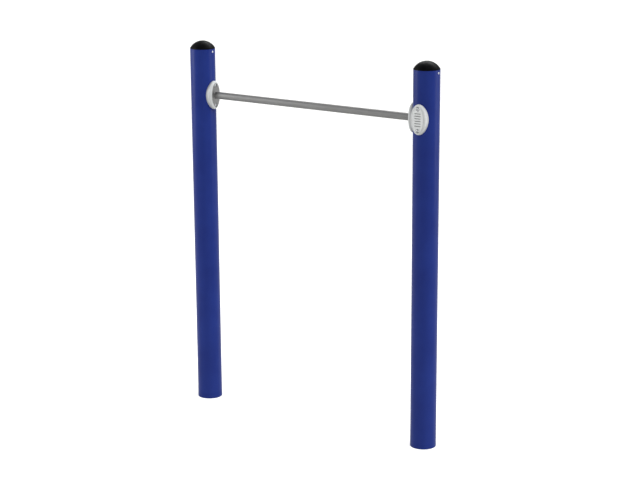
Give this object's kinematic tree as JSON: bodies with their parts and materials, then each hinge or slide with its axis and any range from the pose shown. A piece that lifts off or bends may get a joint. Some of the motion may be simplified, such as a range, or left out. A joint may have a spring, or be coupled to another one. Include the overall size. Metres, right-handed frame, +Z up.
{
  "type": "kip bar",
  "caption": "Fixed kip bar: a round steel bar with oval end plates, held at chest height by saddles between capped round posts, with a grooved oval cover on the front of the right post.",
  "frame": {"origin": "on the ground, midway between the posts, on the line through their axes; the front cover plate stands 15.5 mm in front of the posts and nothing stands behind them, so the bounding box's centre is about 8 mm in front of it", "axes": "+X along the bar towards the post that carries the front cover plate, -Y towards the front, +Z up the posts"},
  "size_m": [1.3754, 0.1355, 1.787],
  "materials": {
    "blue_powder_coat": "satin powder coat on steel tube",
    "grey_powder_coat": "light grey powder coat on a die casting",
    "pale_grey_powder_coat": "paler grey powder coat on a die-cast cover",
    "black_cap_plastic": "moulded, semi-gloss",
    "black_plug_plastic": "moulded, matt",
    "brushed_stainless": "fine brushed stainless steel",
    "fastener_stainless": "bright cold-headed stainless steel",
    "zinc_steel": "zinc plated"
  },
  "bodies": {
    "root": {"bar_tube": "brushed_stainless", "front_cover_plate": "pale_grey_powder_coat", "front_saddle": "grey_powder_coat", "front_saddle_rivet_nuts": "zinc_steel", "front_saddle_screws": "fastener_stainless", "front_saddle_washers": "fastener_stainless", "left_bar_end_plate": "brushed_stainless", "left_base_plug": "black_plug_plastic", "left_cap_screws": "fastener_stainless", "left_post": "blue_powder_coat", "left_post_cap": "black_cap_plastic", "left_saddle": "grey_powder_coat", "left_saddle_rivet_nuts": "zinc_steel", "left_saddle_screws": "fastener_stainless", "left_saddle_washers": "fastener_stainless", "right_bar_end_plate": "brushed_stainless", "right_base_plug": "black_plug_plastic", "right_cap_screws": "fastener_stainless", "right_post": "blue_powder_coat", "right_post_cap": "black_cap_plastic", "right_saddle": "grey_powder_coat", "right_saddle_rivet_nuts": "zinc_steel", "right_saddle_screws": "fastener_stainless", "right_saddle_washers": "fastener_stainless"}
  },
  "joints": []
}
